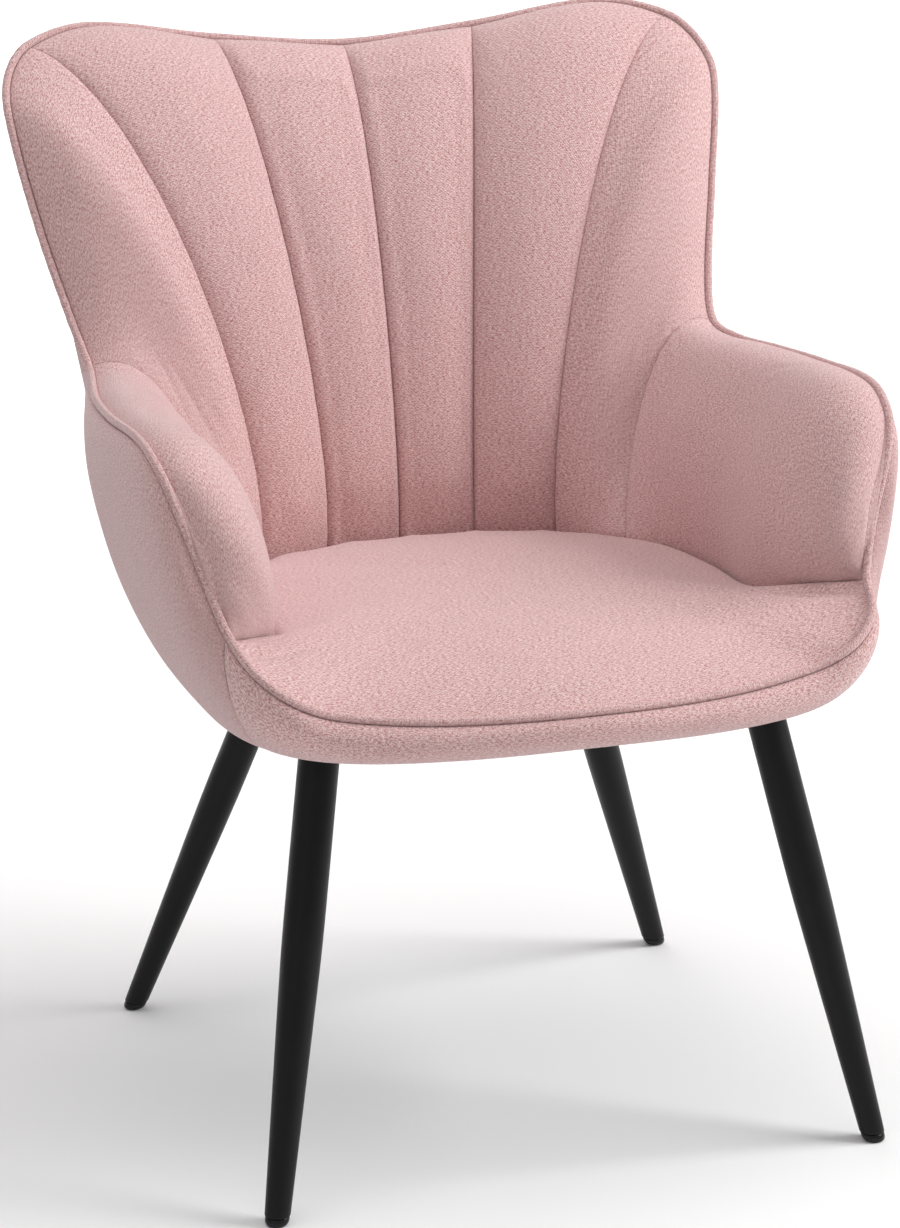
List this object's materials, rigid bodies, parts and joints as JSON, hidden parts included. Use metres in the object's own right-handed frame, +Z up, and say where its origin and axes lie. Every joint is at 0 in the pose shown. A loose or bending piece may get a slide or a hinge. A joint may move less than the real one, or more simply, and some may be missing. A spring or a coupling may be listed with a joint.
{
  "type": "upholstered armchair",
  "caption": "Upholstered armchair with a channelled wing back, low padded arms in one curved shell, a piped edge, a fixed seat and splayed tapered steel legs.",
  "frame": {"origin": "on the floor, under the middle of the chair's whole box", "axes": "+X to the sitter's left, the front of the chair faces -Y, +Z up"},
  "size_m": [0.646, 0.6571, 0.8533],
  "materials": {
    "upholstery_fabric": "matte",
    "piping_fabric": "matte",
    "covered_foam": "matte",
    "bent_plywood": "matte",
    "solid_wood": "matte",
    "dust_cloth": "matte",
    "black_powder_coat": "satin",
    "glide_plastic": "gloss",
    "zinc_plated_steel": "satin"
  },
  "bodies": {
    "root": {"back_channel_inner_left": "upholstery_fabric", "back_channel_inner_right": "upholstery_fabric", "back_channel_outer_left": "upholstery_fabric", "back_channel_outer_right": "upholstery_fabric", "wing_pad_left": "upholstery_fabric", "wing_pad_right": "upholstery_fabric", "arm_pad_left": "upholstery_fabric", "arm_pad_right": "upholstery_fabric", "outside_back_cover": "upholstery_fabric", "outside_side_cover_left": "upholstery_fabric", "outside_side_cover_right": "upholstery_fabric", "front_border": "upholstery_fabric", "piping": "piping_fabric", "seat_pad": "covered_foam", "back_plywood": "bent_plywood", "arm_plywood_left": "bent_plywood", "arm_plywood_right": "bent_plywood", "seat_board": "solid_wood", "dust_cover": "dust_cloth", "leg_front_left": "black_powder_coat", "glide_front_left": "glide_plastic", "leg_plate_front_left": "black_powder_coat", "leg_gusset_front_left": "black_powder_coat", "leg_bolt_front_left_1": "zinc_plated_steel", "leg_bolt_front_left_2": "zinc_plated_steel", "leg_bolt_front_left_3": "zinc_plated_steel", "t_nut_front_left_1": "zinc_plated_steel", "t_nut_front_left_2": "zinc_plated_steel", "t_nut_front_left_3": "zinc_plated_steel", "leg_front_right": "black_powder_coat", "glide_front_right": "glide_plastic", "leg_plate_front_right": "black_powder_coat", "leg_gusset_front_right": "black_powder_coat", "leg_bolt_front_right_1": "zinc_plated_steel", "leg_bolt_front_right_2": "zinc_plated_steel", "leg_bolt_front_right_3": "zinc_plated_steel", "t_nut_front_right_1": "zinc_plated_steel", "t_nut_front_right_2": "zinc_plated_steel", "t_nut_front_right_3": "zinc_plated_steel", "leg_rear_left": "black_powder_coat", "glide_rear_left": "glide_plastic", "leg_plate_rear_left": "black_powder_coat", "leg_gusset_rear_left": "black_powder_coat", "leg_bolt_rear_left_1": "zinc_plated_steel", "leg_bolt_rear_left_2": "zinc_plated_steel", "leg_bolt_rear_left_3": "zinc_plated_steel", "t_nut_rear_left_1": "zinc_plated_steel", "t_nut_rear_left_2": "zinc_plated_steel", "t_nut_rear_left_3": "zinc_plated_steel", "leg_rear_right": "black_powder_coat", "glide_rear_right": "glide_plastic", "leg_plate_rear_right": "black_powder_coat", "leg_gusset_rear_right": "black_powder_coat", "leg_bolt_rear_right_1": "zinc_plated_steel", "leg_bolt_rear_right_2": "zinc_plated_steel", "leg_bolt_rear_right_3": "zinc_plated_steel", "t_nut_rear_right_1": "zinc_plated_steel", "t_nut_rear_right_2": "zinc_plated_steel", "t_nut_rear_right_3": "zinc_plated_steel"}
  },
  "joints": []
}
